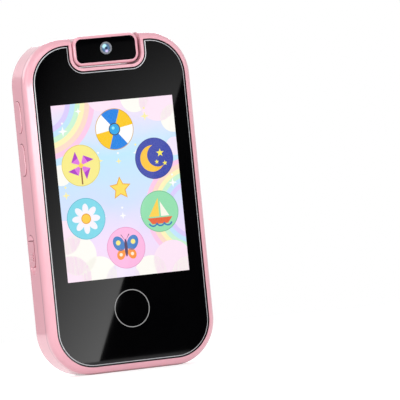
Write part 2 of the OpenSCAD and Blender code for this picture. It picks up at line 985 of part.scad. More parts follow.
// The head's outer form: a flat front, and a back turned about the axis, so that the
// head's outline fits the notch the same way at every angle
module head_form() {
  intersection() {
    translate([0, 0, axis_z])
      soft_slab(head_w, 2*head_r, -2*head_y, head_corner_r, head_edge_r);
    translate([-head_w, 2*head_y, axis_z - 2*head_r])
      cube([2*head_w, -2*head_y, 4*head_r]);
  }
  translate([0, 0, axis_z])
    rotate([0, 90, 0])
      rotate_extrude(angle = 180)
        intersection() {
          rounded(2*head_r, head_w, head_corner_r);
          translate([0, -head_w])
            square([2*head_r, 2*head_w]);
        }
}

module head_front_shell() {
  face_t = window_t + 0.1 + head_wall;
  color("pink") {
    difference() {
      intersection() {
        head_form();
        translate([-head_w, head_y - 1, axis_z - 2*head_r])
          cube([2*head_w, head_split_y - head_y + 1, 4*head_r]);
      }
      // Seat of the window
      plate(head_y - 1, head_y + window_t + 0.1)
        rounded(window_w + 0.1, window_h + 0.1, window_r, 0, axis_z);
      // Hollow behind the face
      plate(head_y + face_t, head_split_y + 1)
        rounded(head_w - 2*head_wall, 2*head_r - 2*head_wall, head_corner_r - head_wall, 0, axis_z);
      rod_y(lens_dia/2 + 0.05, head_y - 1, head_split_y, 0, lens_z);
      for (s = [-1, 1]) {
        rod_y(head_screw[0] + seat_gap, head_y, head_y + window_t + 0.8, s*head_screw_x, head_screw_z);
        rod_y(head_screw[1] + seat_gap, head_y, head_split_y + 1, s*head_screw_x, head_screw_z);
      }
    }
    for (s = [-1, 1])
      difference() {
        rod_y(head_boss_r, head_y + face_t - 0.2, head_split_y, s*head_screw_x, head_screw_z);
        rod_y(head_screw[1] + seat_gap, head_y, head_split_y + 1, s*head_screw_x, head_screw_z);
      }
  }
}

module head_rear_shell() {
  inner_r = head_r - head_wall;
  color("pink") {
    difference() {
      intersection() {
        head_form();
        translate([-head_w, head_split_y, axis_z - 2*head_r])
          cube([2*head_w, 2*head_r - head_split_y, 4*head_r]);
      }
      rod_x(inner_r, -pin_in_x, pin_in_x, 0, axis_z);
      translate([-pin_in_x, head_split_y - 1, axis_z - inner_r])
        cube([2*pin_in_x, 1 - head_split_y, 2*inner_r]);
      for (s = [-1, 1])
        rod_x(pin_r + 0.02, s > 0 ? pin_in_x - 1 : -head_w, s > 0 ? head_w : 1 - pin_in_x, 0, axis_z);
    }
    for (s = [-1, 1])
      difference() {
        rod_y(head_boss_r, head_split_y, 2.9, s*head_screw_x, head_screw_z);
        rod_y(head_screw[1] + thread_gap, head_split_y - 1, 2.2, s*head_screw_x, head_screw_z);
      }
  }
}

module head_window() {
  color("black")
    difference() {
      plate(head_y + 0.05, head_y + window_t + 0.05)
        rounded(window_w, window_h, window_r, 0, axis_z);
      rod_y(lens_dia/2 + 0.02, head_y - 1, head_y + 2, 0, lens_z);
    }
}

module lens_ring() {
  color("dimgray")
    difference() {
      rod_y(lens_dia/2, head_y - 0.2, head_y + window_t, 0, lens_z);
      rod_y(lens_dia/2 - 0.5, head_y - 1, head_y + 2, 0, lens_z);
    }
}

module camera_lens() {
  r = lens_dia/2 - 0.52;
  dome_r = 2.4;
  color("steelblue")
    intersection() {
      rod_y(r, head_y - 0.15, head_y + window_t + 0.04, 0, lens_z);
      translate([0, head_y - 0.15 + dome_r, lens_z])
        sphere(dome_r);
    }
}

module camera_module() {
  base = 2*(head_r - head_wall) - 0.9;
  color("black") {
    rod_y(lens_dia/2 - 0.1, head_y + window_t + 0.05, -3.9, 0, lens_z);
    plate(-4.1, -1.6)
      square_at(base, base, 0, axis_z);
  }
}

// Board between the head's two screw bosses
module camera_board() {
  color("green")
    plate(-1.6, -0.8)
      square_at(camera_board_w, 2*(head_r - head_wall) - 0.5, 0, axis_z);
}

module square_at(w, h, cx, cy) {
  translate([cx, cy])
    square([w, h], center = true);
}

// Side buttons

// Button cap at height z, with the flange that keeps it in the wall
module button_cap(z) {
  cap_d = proud + wall + seat_gap + 0.2;
  color("lightpink") {
    translate([side_x - proud + cap_d/2, side_row_y, z])
      rotate([0, 0, 90])
        soft_pill(button_w, button_l, cap_d, 0.3);
    side_plate(button_flange_x, button_flange_x + button_flange_t)
      stadium(button_w + 2*flange_grow, button_l + 2*flange_grow, side_row_y, z);
  }
}

// Stem between the cap and the switch, which the switch pushes back
module switch_stem(z) {
  color("ivory")
    rod_x(stem_r, button_flange_x + button_flange_t, switch_x + stem_in, side_row_y, z);
}

module upper_button() { button_cap(upper_button_z); }
module lower_button() { button_cap(lower_button_z); }
module upper_switch_stem() { switch_stem(upper_button_z); }
module lower_switch_stem() { switch_stem(lower_button_z); }

// Port cover

module cover_blank() {
  side_plate(cover_x, cover_x + 2*hinge_r)
    stadium(cover_w, cover_l, side_row_y, port_z);
}

// Flap with its plug and grip ribs; its top end is round about the hinge line
module port_cover() {
  back_x = cover_x + 2*hinge_r;
  plug_w = usb_t - 2*cover_gap - 0.1;
  plug_h = usb_w - 2*cover_gap - 1;
  color("lightpink") {
    intersection() {
      cover_blank();
      union() {
        translate([cover_x - 1, -body_d, port_z - cover_l])
          cube([cover_t + 3, 2*body_d, hinge_z - port_z + cover_l]);
        rod_y(hinge_r, -body_d/2, body_d/2, hinge_x, hinge_z);
      }
    }
    side_plate(back_x - 0.1, back_x + plug_depth)
      stadium(plug_w, plug_h, side_row_y, port_z - 0.3);
    for (i = [0 : 3])
      rod_y(rib_r, side_row_y - 1.2, side_row_y + 1.2, cover_x, port_z - cover_l/2 + 2.2 + 0.8*i);
  }
}

// Fixed end of the cover's rubber, bonded to the pocket's floor above the port's mouth
module cover_anchor() {
  cut_z = hinge_z + hinge_r + 0.08;
  color("lightpink")
    side_plate(cover_x, side_x + pocket_depth)
      intersection() {
        stadium(cover_w, cover_l, side_row_y, port_z);
        translate([side_row_y - cover_w, cut_z])
          square([2*cover_w, cover_l]);
      }
}

rear_case();
front_frame();
back_panel();
front_glass();
glass_adhesive();
screen_cell();
backlight();
screen_flex();
screen_pads();
touch_key_foil();
touch_key_foam();
main_board();
board_chips();
board_connectors();
card_slot();
memory_card();
side_switches();
usb_socket();
microphone();
battery();
battery_tape();
battery_lead();
speaker();
speaker_gasket();
speaker_lead();
flash_led();
flash_lens();
case_screws();
board_screws();
strap_bar();
pivot_bushes();
friction_rings();
camera_lead();
cover_anchor();
head_front_shell();
head_rear_shell();
head_window();
lens_ring();
camera_lens();
camera_module();
camera_board();
head_screws();
pivot_pins();
upper_button();
upper_switch_stem();
lower_button();
lower_switch_stem();
port_cover();
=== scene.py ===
"""Looks of a toy cell phone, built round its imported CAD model.

Everything is in metres in the CAD frame: +Z runs along the phone, the screen faces -Y,
and +X is on the right of the screen. Places come from the boxes of the CAD nodes.
"""

import json
import math

import bmesh
import bpy
from mathutils import Matrix, Vector


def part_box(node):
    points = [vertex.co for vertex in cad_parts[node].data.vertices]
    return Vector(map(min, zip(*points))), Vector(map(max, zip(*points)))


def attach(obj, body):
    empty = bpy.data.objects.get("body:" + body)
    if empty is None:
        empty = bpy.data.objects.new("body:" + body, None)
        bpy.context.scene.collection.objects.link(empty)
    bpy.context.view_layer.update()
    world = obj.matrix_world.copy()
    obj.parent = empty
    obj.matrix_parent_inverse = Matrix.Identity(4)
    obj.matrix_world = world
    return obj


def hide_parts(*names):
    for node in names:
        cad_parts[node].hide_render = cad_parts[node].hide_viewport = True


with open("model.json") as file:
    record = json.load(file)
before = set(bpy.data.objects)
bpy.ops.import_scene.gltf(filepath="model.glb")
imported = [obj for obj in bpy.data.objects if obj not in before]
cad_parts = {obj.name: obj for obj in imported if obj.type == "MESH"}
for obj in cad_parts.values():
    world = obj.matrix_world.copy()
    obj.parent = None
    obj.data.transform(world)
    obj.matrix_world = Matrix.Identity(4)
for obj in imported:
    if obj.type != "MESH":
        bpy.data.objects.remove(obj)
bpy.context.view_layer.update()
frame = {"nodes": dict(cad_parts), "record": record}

MM = 0.001
NODES = frame["nodes"]
GLASS_IOR = 1.36
PICTURE_IOR = 1.2
# Radius of the motifs' round grounds in millimetres, and the step between two printed layers
ROUNDEL = 6.7
PRINT_STEP = 0.004 * MM
# How far apart surfaces still get the painted shade of a narrow gap, and what their colour is multiplied
# by there
GAP_REACH = 0.9 * MM
GAP_SHADE_TINT = (0.352, 0.121, 0.154, 1.0)
SCREEN_GLOW = 0.72


BLACK = (0, 0, 0, 1)


# Colours and materials

def rgb(red, green, blue):
    """The linear colour of an sRGB one that is given from 0 to 255."""
    parts = [c / 255 for c in (red, green, blue)]
    return tuple(c / 12.92 if c <= 0.04045 else ((c + 0.055) / 1.055) ** 2.4 for c in parts) + (1.0,)


def shade(colour, factor):
    """The colour, made lighter or darker by factor."""
    return tuple(min(c * factor, 1.0) for c in colour[:3]) + (1.0,)


class Paint:
    """A node material with one Principled shader, and short calls that add nodes to it."""

    def __init__(self, name, constants):
        self.material = bpy.data.materials.new(name)
        self.material.use_nodes = True
        self.nodes = self.material.node_tree.nodes
        self.links = self.material.node_tree.links
        self.shader = self.nodes["Principled BSDF"]
        self.coordinates = self.nodes.new("ShaderNodeTexCoord").outputs["Object"]
        self.set(constants)

    def put(self, socket, value):
        if isinstance(value, bpy.types.NodeSocket):
            self.links.new(value, socket)
        else:
            socket.default_value = value

    def set(self, values):
        """Gives sockets of the shader a constant or a link."""
        for key, value in values.items():
            self.put(self.shader.inputs[key], value)
        return self

    def add(self, kind, inputs, **settings):
        """A new node; inputs are constants or sockets by name or number."""
        node = self.nodes.new("ShaderNode" + kind)
        for key, value in settings.items():
            setattr(node, key, value)
        for key, value in inputs.items():
            self.put(node.inputs[key], value)
        return node

    def noise(self, size, detail=2.0):
        """Smooth noise from 0 to 1, with blobs of about that size."""
        inputs = {"Vector": self.coordinates, "Scale": 1 / size, "Detail": detail}
        return self.add("TexNoise", inputs).outputs["Fac"]

    def cells(self, size, feature="F1"):
        """A node of random cells of about that size."""
        return self.add("TexVoronoi", {"Vector": self.coordinates, "Scale": 1 / size}, feature=feature)

    def maths(self, operation, a, b=0.0, clamp=False):
        return self.add("Math", {0: a, 1: b}, operation=operation, use_clamp=clamp).outputs[0]

    def vector(self, operation, a, b, out="Vector"):
        return self.add("VectorMath", {0: a, 1: b}, operation=operation).outputs[out]

    def remap(self, value, low, high, to_low, to_high, smooth=False):
        """Takes value from low..high to to_low..to_high, and clamps it there."""
        inputs = {"Value": value, "From Min": low, "From Max": high, "To Min": to_low, "To Max": to_high}
        kind = "SMOOTHSTEP" if smooth else "LINEAR"
        return self.add("MapRange", inputs, interpolation_type=kind).outputs["Result"]

    def mix(self, factor, a, b):
        """Colour a where factor is 0 and b where it is 1."""
        return self.add("Mix", {0: factor, 6: a, 7: b}, data_type="RGBA").outputs[2]

    def axes(self, vector=None):
        """The x, y and z of a vector, or of the place on the piece."""
        return self.add("SeparateXYZ", {0: vector or self.coordinates}).outputs

    def rounded(self, radius):
        """A normal that rounds the piece's sharp edges by that radius."""
        return self.add("Bevel", {"Radius": radius}, samples=6).outputs["Normal"]

    def times(self, a, b):
        """The product of two colours."""
        inputs = {0: 1.0, 6: a, 7: b}
        return self.add("Mix", inputs, data_type="RGBA", blend_type="MULTIPLY").outputs[2]

    def painted_gap_shade(self, colour):
        """The colour, with painted shade that deepens it in narrow gaps and corners."""
        open_sky = self.add("AmbientOcclusion", {"Distance": GAP_REACH}, samples=8).outputs["AO"]
        deep = self.times(self.times(colour, colour), GAP_SHADE_TINT)
        return self.mix(self.remap(open_sky, 0.1, 0.7, 0.0, 1.0, True), deep, colour)

    def uneven(self, rough):
        """A roughness that drifts a little over the piece."""
        return self.remap(self.noise(3 * MM), 0.3, 0.7, rough * 0.92, rough * 1.08)

    def bump(self, height, depth, normal=None):
        inputs = {"Height": height, "Distance": depth, "Strength": 1.0}
        if normal is not None:
            inputs["Normal"] = normal
        return self.add("Bump", inputs).outputs["Normal"]


def moulded(
    name, colour, rough, grain=0.12 * MM, depth=0.004 * MM, edge=0.12 * MM, paint_gap_shade=False, **extra
):
    """Moulded plastic or rubber: a faint drift of colour, uneven gloss and a fine grain, and painted
    shade in narrow gaps where that is asked for.
    """
    paint = Paint(name, extra)
    drift = paint.noise(9 * MM, 3)
    tone = paint.mix(drift, shade(colour, 0.96), shade(colour, 1.04))
    paint.set({
        "Base Color": paint.painted_gap_shade(tone) if paint_gap_shade else tone,
        "Roughness": paint.uneven(rough),
        "Normal": paint.bump(paint.noise(grain), depth, paint.rounded(edge)),
    })
    return paint.material


def side_cap(name, colour, rough, painted_wall_shade):
    """Plastic or rubber that stands in a gap of the side: its walls get painted shade, and its narrow
    gaps too.
    """
    paint = Paint(name, CASE_GLOSS)
    drift = paint.noise(9 * MM, 3)
    normal = paint.nodes["Texture Coordinate"].outputs["Normal"]
    facing = paint.maths("ABSOLUTE", paint.axes(normal)[0])
    # Painted shade: the walls, which don't face out of the side, take the darker colour.
    wall = paint.remap(facing, 0.35, 0.75, 1.0, 0.0, True)
    tone = paint.mix(drift, shade(colour, 0.97), shade(colour, 1.03))
    paint.set({
        "Base Color": paint.painted_gap_shade(paint.mix(wall, tone, painted_wall_shade)),
        "Roughness": paint.uneven(rough),
        "Normal": paint.bump(paint.noise(0.12 * MM), 0.003 * MM, paint.rounded(0.06 * MM)),
    })
    return paint.material


def seamed_case(name, colour, rough, seam_y, half_width):
    """The case's glossy plastic: darker where its halves meet, with painted shade in red in the nail
    notch and in narrow gaps.
    """
    paint = Paint(name, CASE_GLOSS)
    drift = paint.noise(9 * MM, 3)
    plain = paint.painted_gap_shade(paint.mix(drift, shade(colour, 0.97), shade(colour, 1.03)))
    offset = paint.maths("ABSOLUTE", paint.maths("SUBTRACT", paint.axes()[1], seam_y))
    groove = paint.remap(offset, 0.0, half_width, 1.0, 0.0, True)
    # Painted shade: red in the nail notch at the lower end of the port cover.
    cover_low, cover_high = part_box("port_cover")
    notch_shade_centre = (cover_low.x, (cover_low.y + cover_high.y) / 2, cover_low.z - 0.3 * MM)
    reach = paint.vector("DISTANCE", paint.coordinates, notch_shade_centre, "Value")
    plain = paint.mix(paint.remap(reach, 0.7 * MM, 1.35 * MM, 1.0, 0.0, True), plain, rgb(178, 70, 86))
    shell = paint.bump(paint.noise(0.12 * MM), 0.003 * MM, paint.rounded(0.12 * MM))
    paint.set({
        "Base Color": paint.mix(groove, plain, shade(colour, 0.62)),
        "Roughness": paint.uneven(rough),
        "Normal": shell,
    })
    return paint.material


def metal(name, colour, rough, direction=(1.0, 1.0, 12.0)):
    """Brushed metal, with its lines across the direction's long axis."""
    paint = Paint(name, {"Metallic": 1.0})
    stretched = paint.vector("MULTIPLY", paint.coordinates, direction)
    lines = paint.add("TexNoise", {"Vector": stretched, "Scale": 1 / (0.9 * MM), "Detail": 3.0})
    lines = lines.outputs["Fac"]
    paint.set({
        "Base Color": paint.mix(lines, shade(colour, 0.82), shade(colour, 1.1)),
        "Roughness": paint.remap(lines, 0.3, 0.7, rough * 0.8, rough * 1.2),
        "Normal": paint.bump(lines, 0.006 * MM, paint.rounded(0.08 * MM)),
    })
    return paint.material


def circuit_board(name):
    """Green solder mask over copper tracks."""
    paint = Paint(name, {"Coat Weight": 0.4, "Coat Roughness": 0.2})
    tracks = paint.cells(1.6 * MM, "DISTANCE_TO_EDGE").outputs["Distance"]
    track = paint.remap(tracks, 0.04, 0.08, 1.0, 0.0)
    paint.set({
        "Base Color": paint.mix(track, rgb(16, 86, 52), rgb(46, 140, 84)),
        "Roughness": paint.remap(paint.noise(2 * MM), 0.3, 0.7, 0.3, 0.42),
        "Normal": paint.bump(track, 0.03 * MM, paint.rounded(0.06 * MM)),
    })
    return paint.material


def glitter_panel(name):
    """Clear gloss over pink that is full of fine pale flakes, with a few bright ones; the flakes glow a
    little as painted glints, and narrow gaps get painted shade.
    """
    paint = Paint(name, {"Coat Weight": 1.0, "Coat Roughness": 0.03, "Specular IOR Level": 0.3})
    drift = paint.noise(14 * MM, 3)
    colour = paint.painted_gap_shade(paint.mix(drift, rgb(229, 170, 183), rgb(237, 186, 197)))
    tilt = None
    # Size of the flakes, the share of cells without one, and how much of the pink they cover
    for size, empty, cover in ((0.3, 0.55, 0.3), (0.55, 0.8, 0.65), (0.85, 0.93, 0.95)):
        flakes = paint.cells(size * MM)
        chance = paint.axes(flakes.outputs["Color"])
        near = paint.remap(flakes.outputs["Distance"], 0.25, 0.4, 1.0, 0.0)
        shown = paint.maths("MULTIPLY", near, paint.remap(chance[0], empty, empty + 0.03, 0.0, 1.0))
        colour = paint.mix(paint.maths("MULTIPLY", shown, cover), colour, rgb(255, 244, 248))
        tilt = tilt or paint.vector("SUBTRACT", flakes.outputs["Color"], (0.5, 0.5, 0.5))
    tilt = paint.add("VectorMath", {0: tilt, "Scale": 0.22}, operation="SCALE").outputs["Vector"]
    normal = paint.vector("ADD", paint.rounded(0.15 * MM), tilt)
    normal = paint.add("VectorMath", {0: normal}, operation="NORMALIZE").outputs["Vector"]
    paint.set({
        "Base Color": colour,
        "Roughness": paint.remap(shown, 0.0, 1.0, 0.4, 0.2),
        "Normal": normal,
        "Coat Normal": paint.rounded(0.15 * MM),
        # The flakes glow a little by themselves: painted glints.
        "Emission Color": colour,
        "Emission Strength": paint.maths("MULTIPLY", shown, 0.35),
    })
    return paint.material


def dark_glass(name, tint, rough=0.03, ior=GLASS_IOR):
    """Polished glass over a black print, with faint smears in its gloss."""
    paint = Paint(name, {"IOR": ior})
    smear = paint.noise(11 * MM, 4)
    paint.set({
        "Base Color": paint.mix(smear, shade(tint, 0.8), shade(tint, 1.2)),
        "Roughness": paint.remap(smear, 0.3, 0.7, rough, rough * 1.6),
        "Normal": paint.bump(paint.noise(16 * MM, 1), 0.002 * MM, paint.rounded(0.1 * MM)),
    })
    return paint.material


def printed(name, colour, glow=0.0):
    """A colour seen through the polished glass; glow is how much it shines by itself."""
    paint = Paint(name, {"Coat Weight": 1.0, "Coat Roughness": 0.03, "Specular IOR Level": 0.1})
    cells = paint.noise(0.25 * MM, 1)
    tone = paint.mix(cells, shade(colour, 0.985), shade(colour, 1.015))
    paint.set({
        "Base Color": tone,
        "Roughness": paint.remap(cells, 0.3, 0.7, 0.5, 0.6),
        "Emission Color": tone, "Emission Strength": glow,
    })
    return paint.material


def sky(name, low, high, glow):
    """The picture's pastel sky: blue, lavender and pink bands that drift into each other."""
    paint = Paint(name, {
        "Coat Weight": 1.0, "Coat Roughness": 0.03, "Coat IOR": PICTURE_IOR,
        "Specular IOR Level": 0.0, "Emission Strength": glow,
    })
    drift = paint.maths("MULTIPLY", paint.maths("SUBTRACT", paint.noise(16 * MM, 2), 0.5), 14 * MM)
    height = paint.maths("ADD", paint.axes()[2], drift)
    part = paint.remap(height, low, high, 0.0, 1.0)
    ramp = paint.add("ValToRGB", {0: part})
    stops = [
        (0.0, rgb(255, 226, 246)), (0.22, rgb(244, 226, 255)), (0.45, rgb(214, 228, 255)),
        (0.68, rgb(196, 236, 255)), (0.86, rgb(226, 232, 255)), (1.0, rgb(255, 228, 248)),
    ]
    points = ramp.color_ramp.elements
    for place, colour in stops[2:]:
        points.new(place)
    for point, (place, colour) in zip(points, stops):
        point.position = place
        point.color = colour
    colour = ramp.outputs["Color"]
    paint.set({
        "Base Color": paint.mix(0.75, colour, BLACK), "Emission Color": colour,
        "Roughness": paint.remap(paint.noise(0.25 * MM, 1), 0.3, 0.7, 0.5, 0.6),
    })
    return paint.material


PINK = rgb(230, 167, 180)
CASE_GLOSS = {
    "Coat Weight": 1.0, "Coat Roughness": 0.16, "Coat IOR": 1.65, "Specular IOR Level": 0.1,
}
SEAM_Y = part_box("rear_case")[0].y
MATERIALS = {
    "case_pink": moulded("case_pink", PINK, 0.34, paint_gap_shade=True, **CASE_GLOSS),
    "panel_glitter": glitter_panel("panel_glitter"),
    "glass_black": dark_glass("glass_black", rgb(3, 3, 4)),
    "adhesive": moulded("adhesive", rgb(26, 26, 27), 0.7),
    "screen": printed("screen_cell_glass", rgb(60, 62, 72)),
    "white_plastic": moulded("white_plastic", rgb(232, 231, 226), 0.5),
    "flex_film": moulded("flex_film", rgb(190, 118, 44), 0.35),
    "foam": moulded("foam", rgb(46, 46, 48), 0.9, grain=0.4 * MM, depth=0.08 * MM),
    "copper_foil": metal("copper_foil", rgb(214, 150, 92), 0.35),
    "board_green": circuit_board("board_green"),
    "chip_black": moulded("chip_black", rgb(30, 30, 33), 0.5),
    "steel": metal("steel", rgb(205, 205, 208), 0.3),
    "battery_film": metal("battery_film", rgb(186, 188, 194), 0.38, (1.0, 12.0, 1.0)),
    "tape": moulded("tape", rgb(214, 176, 84), 0.45),
    "wire_red": moulded("wire_red", rgb(176, 28, 30), 0.45),
    "wire_black": moulded("wire_black", rgb(24, 24, 25), 0.45),
    "led_white": moulded("led_white", rgb(244, 224, 150), 0.4),
    "clear_plastic": printed("flash_window", rgb(255, 240, 176), glow=0.8),
    "window_black": dark_glass("window_black", rgb(2, 2, 3), ior=1.24),
    "lens_glass": dark_glass("lens_glass", rgb(30, 52, 84), 0.02),
    "rubber_pink": moulded("rubber_pink", rgb(228, 166, 179), 0.5, depth=0.006 * MM, paint_gap_shade=True),
    "bush_plastic": moulded("bush_plastic", rgb(236, 236, 232), 0.4),
}
CASE_HALF = seamed_case("case_half", PINK, 0.34, SEAM_Y, 0.36 * MM)
# Painted shade: the speaker and its gasket take the dark maroon seen through the sound slots.
SOUND_SLOT_SHADE = moulded("sound_dark", rgb(78, 16, 28), 0.8, grain=0.3 * MM, depth=0.05 * MM)
OWN_LOOKS = {
    "rear_case": CASE_HALF,
    "front_frame": CASE_HALF,
    # The last colour of each side cap is the painted shade on its walls.
    "upper_button": side_cap("button_cap", PINK, 0.34, rgb(176, 80, 94)),
    "lower_button": side_cap("button_cap", PINK, 0.34, rgb(176, 80, 94)),
    "port_cover": side_cap("cover_flap", rgb(228, 166, 179), 0.48, rgb(186, 92, 106)),
    "speaker": SOUND_SLOT_SHADE,
    "speaker_gasket": SOUND_SLOT_SHADE,
    "lens_ring": metal("lens_outline", rgb(176, 180, 188), 0.3),
    "pivot_bushes": moulded("pivot_bush", rgb(150, 60, 76), 0.5),
    "pivot_pins": metal("pivot_pin", rgb(120, 84, 92), 0.45),
}


def dress_cad_nodes():
    """Every CAD node takes its own material, or the one of its slot in the record."""
    for part in frame["record"]["subparts"]:
        mesh = NODES[part["node"]].data
        mesh.materials.clear()
        mesh.materials.append(OWN_LOOKS.get(part["node"], MATERIALS[part["material_slot"]]))


# Pieces

def add_piece(name, mesh, body, materials, smooth=False):
    """A new piece from a bmesh, riding on a body."""
    data = bpy.data.meshes.new(name)
    mesh.to_mesh(data)
    mesh.free()
    for material in materials:
        data.materials.append(material)
    for face in data.polygons:
        face.use_smooth = smooth
    piece = bpy.data.objects.new(name, data)
    bpy.context.scene.collection.objects.link(piece)
    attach(piece, body)
    return piece


def cover_glass():
    """The front glass with a black step at its edge and a ground slope that catches the light."""
    low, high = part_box("front_glass")
    step_depth, step_width, slope_width = 0.16 * MM, 0.42 * MM, 0.24 * MM
    mesh = bmesh.new()
    mesh.from_mesh(NODES["front_glass"].data)
    bmesh.ops.remove_doubles(mesh, verts=mesh.verts, dist=0.001 * MM)
    bmesh.ops.dissolve_limit(mesh, angle_limit=0.002, verts=mesh.verts, edges=mesh.edges)
    front = max((f for f in mesh.faces if f.normal.y < -0.99), key=lambda f: f.calc_area())
    for vert in front.verts:
        vert.co.y += step_depth
    bmesh.ops.inset_region(mesh, faces=[front], thickness=step_width, depth=0, use_even_offset=True)
    slope = bmesh.ops.inset_region(
        mesh, faces=[front], thickness=slope_width, depth=step_depth, use_even_offset=True
    )
    for face in slope["faces"]:
        face.material_index = 1
    ground = moulded("ground_edge", rgb(196, 198, 202), 0.25, grain=0.1 * MM, depth=0.002 * MM)
    looks = [MATERIALS["glass_black"], ground]
    piece = add_piece("cover_glass", mesh, "handset", looks)
    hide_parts("front_glass")
    return piece


# The picture on the screen: plain motifs in roundels, over a pastel sky

def disc(x, z, radius, stretch=1.0, turn=0.0, steps=40):
    """Points of a circle, or of an ellipse that is stretched along its own second axis."""
    points = []
    for k in range(steps):
        a = math.tau * k / steps
        u, v = radius * math.cos(a), radius * stretch * math.sin(a)
        along = x + u * math.cos(turn) - v * math.sin(turn)
        points.append((along, z + u * math.sin(turn) + v * math.cos(turn)))
    return points


def star(x, z, outer, inner, tips, turn=math.pi / 2):
    """Points of a star with that many tips."""
    return [
        (x + r * math.cos(turn + math.pi * k / tips), z + r * math.sin(turn + math.pi * k / tips))
        for k in range(2 * tips) for r in [inner if k % 2 else outer]
    ]


def slice_of(x, z, radius, start, end, steps=12):
    """Points of a pie slice between two angles in degrees."""
    turns = [math.radians(start + (end - start) * k / steps) for k in range(steps + 1)]
    return [(x, z)] + [(x + radius * math.cos(a), z + radius * math.sin(a)) for a in turns]


class Picture:
    """Flat coloured shapes in one mesh; its places are millimetres from the picture's middle."""

    def __init__(self, middle, face_y):
        self.mesh = bmesh.new()
        self.paint = self.mesh.loops.layers.float_color.new("paint")
        self.middle = middle
        self.face_y = face_y

    def shape(self, points, colour, layer):
        y = self.face_y - layer * PRINT_STEP
        verts = [self.mesh.verts.new((x * MM, y, self.middle + z * MM)) for x, z in points]
        face = self.mesh.faces.new(verts)
        for loop in face.loops:
            loop[self.paint] = colour

    def band(self, x, z, inner, outer, start, end, colour, layer, steps=40):
        """A part of a ring between two angles in degrees."""
        turns = [math.radians(start + (end - start) * k / steps) for k in range(steps + 1)]
        for a, b in zip(turns, turns[1:]):
            corners = [(inner, a), (outer, a), (outer, b), (inner, b)]
            points = [(x + r * math.cos(t), z + r * math.sin(t)) for r, t in corners]
            self.shape(points, colour, layer)

    def trim(self, half_width, half_height):
        """Cuts away what lies outside the picture area."""
        sides = [
            ((half_width * MM, 0, 0), (1, 0, 0)), ((-half_width * MM, 0, 0), (-1, 0, 0)),
            ((0, 0, self.middle + half_height * MM), (0, 0, 1)),
            ((0, 0, self.middle - half_height * MM), (0, 0, -1)),
        ]
        for place, direction in sides:
            everything = self.mesh.verts[:] + self.mesh.edges[:] + self.mesh.faces[:]
            bmesh.ops.bisect_plane(
                self.mesh, geom=everything, plane_co=place, plane_no=direction, clear_outer=True
            )


def draw_sky(art):
    """Rainbow bands, clouds and sparkles, in pale colours."""
    bands = [
        rgb(255, 205, 236), rgb(255, 222, 205), rgb(255, 246, 190),
        rgb(206, 246, 214), rgb(196, 232, 255), rgb(222, 208, 255),
    ]
    for x, z, outer, width in [(-25, 30, 19, 1.7), (25, -9, 17, 1.5)]:
        for k, colour in enumerate(bands):
            art.band(x, z, outer - width * (k + 1), outer - width * k, 90, 450, colour, 1, 72)
    cream, pink, lilac = rgb(255, 253, 246), rgb(255, 232, 248), rgb(246, 234, 255)
    puffs = [
        (16, 27, 6.5, pink), (8, 29, 5.0, cream), (21, 21, 4.5, cream), (-4, 30, 4.6, pink),
        (-21, -14, 5.5, pink), (-17, -20, 6.5, cream), (-20, -27, 7.0, pink), (-10, -27, 6.0, cream),
        (-2, -30, 6.2, lilac), (8, -28, 5.6, cream), (16, -25, 6.8, pink), (21, -30, 6.0, cream),
        (-20, 6, 3.4, cream), (20.5, 12, 3.0, lilac),
    ]
    for x, z, radius, colour in puffs:
        art.shape(disc(x, z, radius), colour, 2)
    gold, white = rgb(255, 243, 170), rgb(255, 255, 255)
    sparkles = [
        (-6.5, 9.5, 1.0), (6.8, 11, 0.8), (-18, 20, 1.1), (11, 22.5, 1.0), (-7, -8.5, 0.9),
        (7.4, -9.6, 1.1), (0.4, 8.8, 0.7), (-12, 26, 0.8), (18.6, 0.2, 1.0), (-19, -0.6, 0.9),
        (0, -8.8, 0.8),
    ]
    for k, (x, z, radius) in enumerate(sparkles):
        art.shape(star(x, z, radius * 1.5, radius * 0.5, 4), white if k % 3 else gold, 3)
        art.shape(disc(x, z + 2.6, 0.35), gold if k % 2 else white, 3)


def draw_roundel(art, x, z, fill, line):
    """Round ground of a motif, with a thin line round it."""
    art.shape(disc(x, z, ROUNDEL, steps=64), line, 4)
    art.shape(disc(x, z, ROUNDEL - 0.2, steps=64), fill, 5)


def draw_ball(art, x, z):
    """Beach ball of six stripes."""
    colours = [rgb(253, 203, 12), rgb(22, 132, 230), rgb(255, 255, 255)]
    draw_roundel(art, x, z, colours[0], rgb(214, 160, 20))
    for k in range(6):
        art.shape(slice_of(x, z, ROUNDEL - 0.2, 60 * k + 10, 60 * k + 70), colours[k % 3], 6)
    art.shape(disc(x, z, 2.0), rgb(60, 66, 90), 7)
    art.shape(disc(x, z, 1.7), rgb(40, 170, 236), 8)
    art.shape(disc(x - 0.4, z + 0.4, 0.5), rgb(150, 236, 250), 9)


def draw_night(art, x, z):
    """Crescent moon and three stars."""
    navy = rgb(62, 74, 172)
    draw_roundel(art, x, z, navy, rgb(48, 56, 140))
    art.shape(disc(x - 0.6, z, 4.3), rgb(255, 200, 60), 6)
    art.shape(disc(x + 1.3, z + 0.9, 3.7), navy, 7)
    for dx, dz, size in [(2.2, 1.6, 1.4), (3.6, -1.8, 0.9), (0.8, -1.2, 0.8)]:
        art.shape(star(x + dx, z + dz, size, size * 0.42, 5), rgb(255, 240, 90), 8)


def draw_boat(art, x, z):
    """Sailing boat on a wave."""
    draw_roundel(art, x, z, rgb(150, 226, 178), rgb(110, 190, 146))
    art.shape([(x - 0.2, z - 1.6), (x - 0.2, z + 4.4), (x - 3.9, z - 1.6)], rgb(255, 214, 84), 6)
    art.shape([(x + 0.4, z - 1.6), (x + 3.3, z - 1.6), (x + 0.4, z + 3.2)], rgb(255, 250, 236), 6)
    hull = [(x - 4.4, z - 2.0), (x - 2.9, z - 4.0), (x + 2.7, z - 4.0), (x + 4.4, z - 2.0)]
    art.shape(hull, rgb(236, 104, 60), 6)
    for k in (-1, 0, 1):
        art.band(x + 2.6 * k, z - 3.2, 1.2, 1.7, 200, 340, rgb(58, 130, 190), 7, 12)


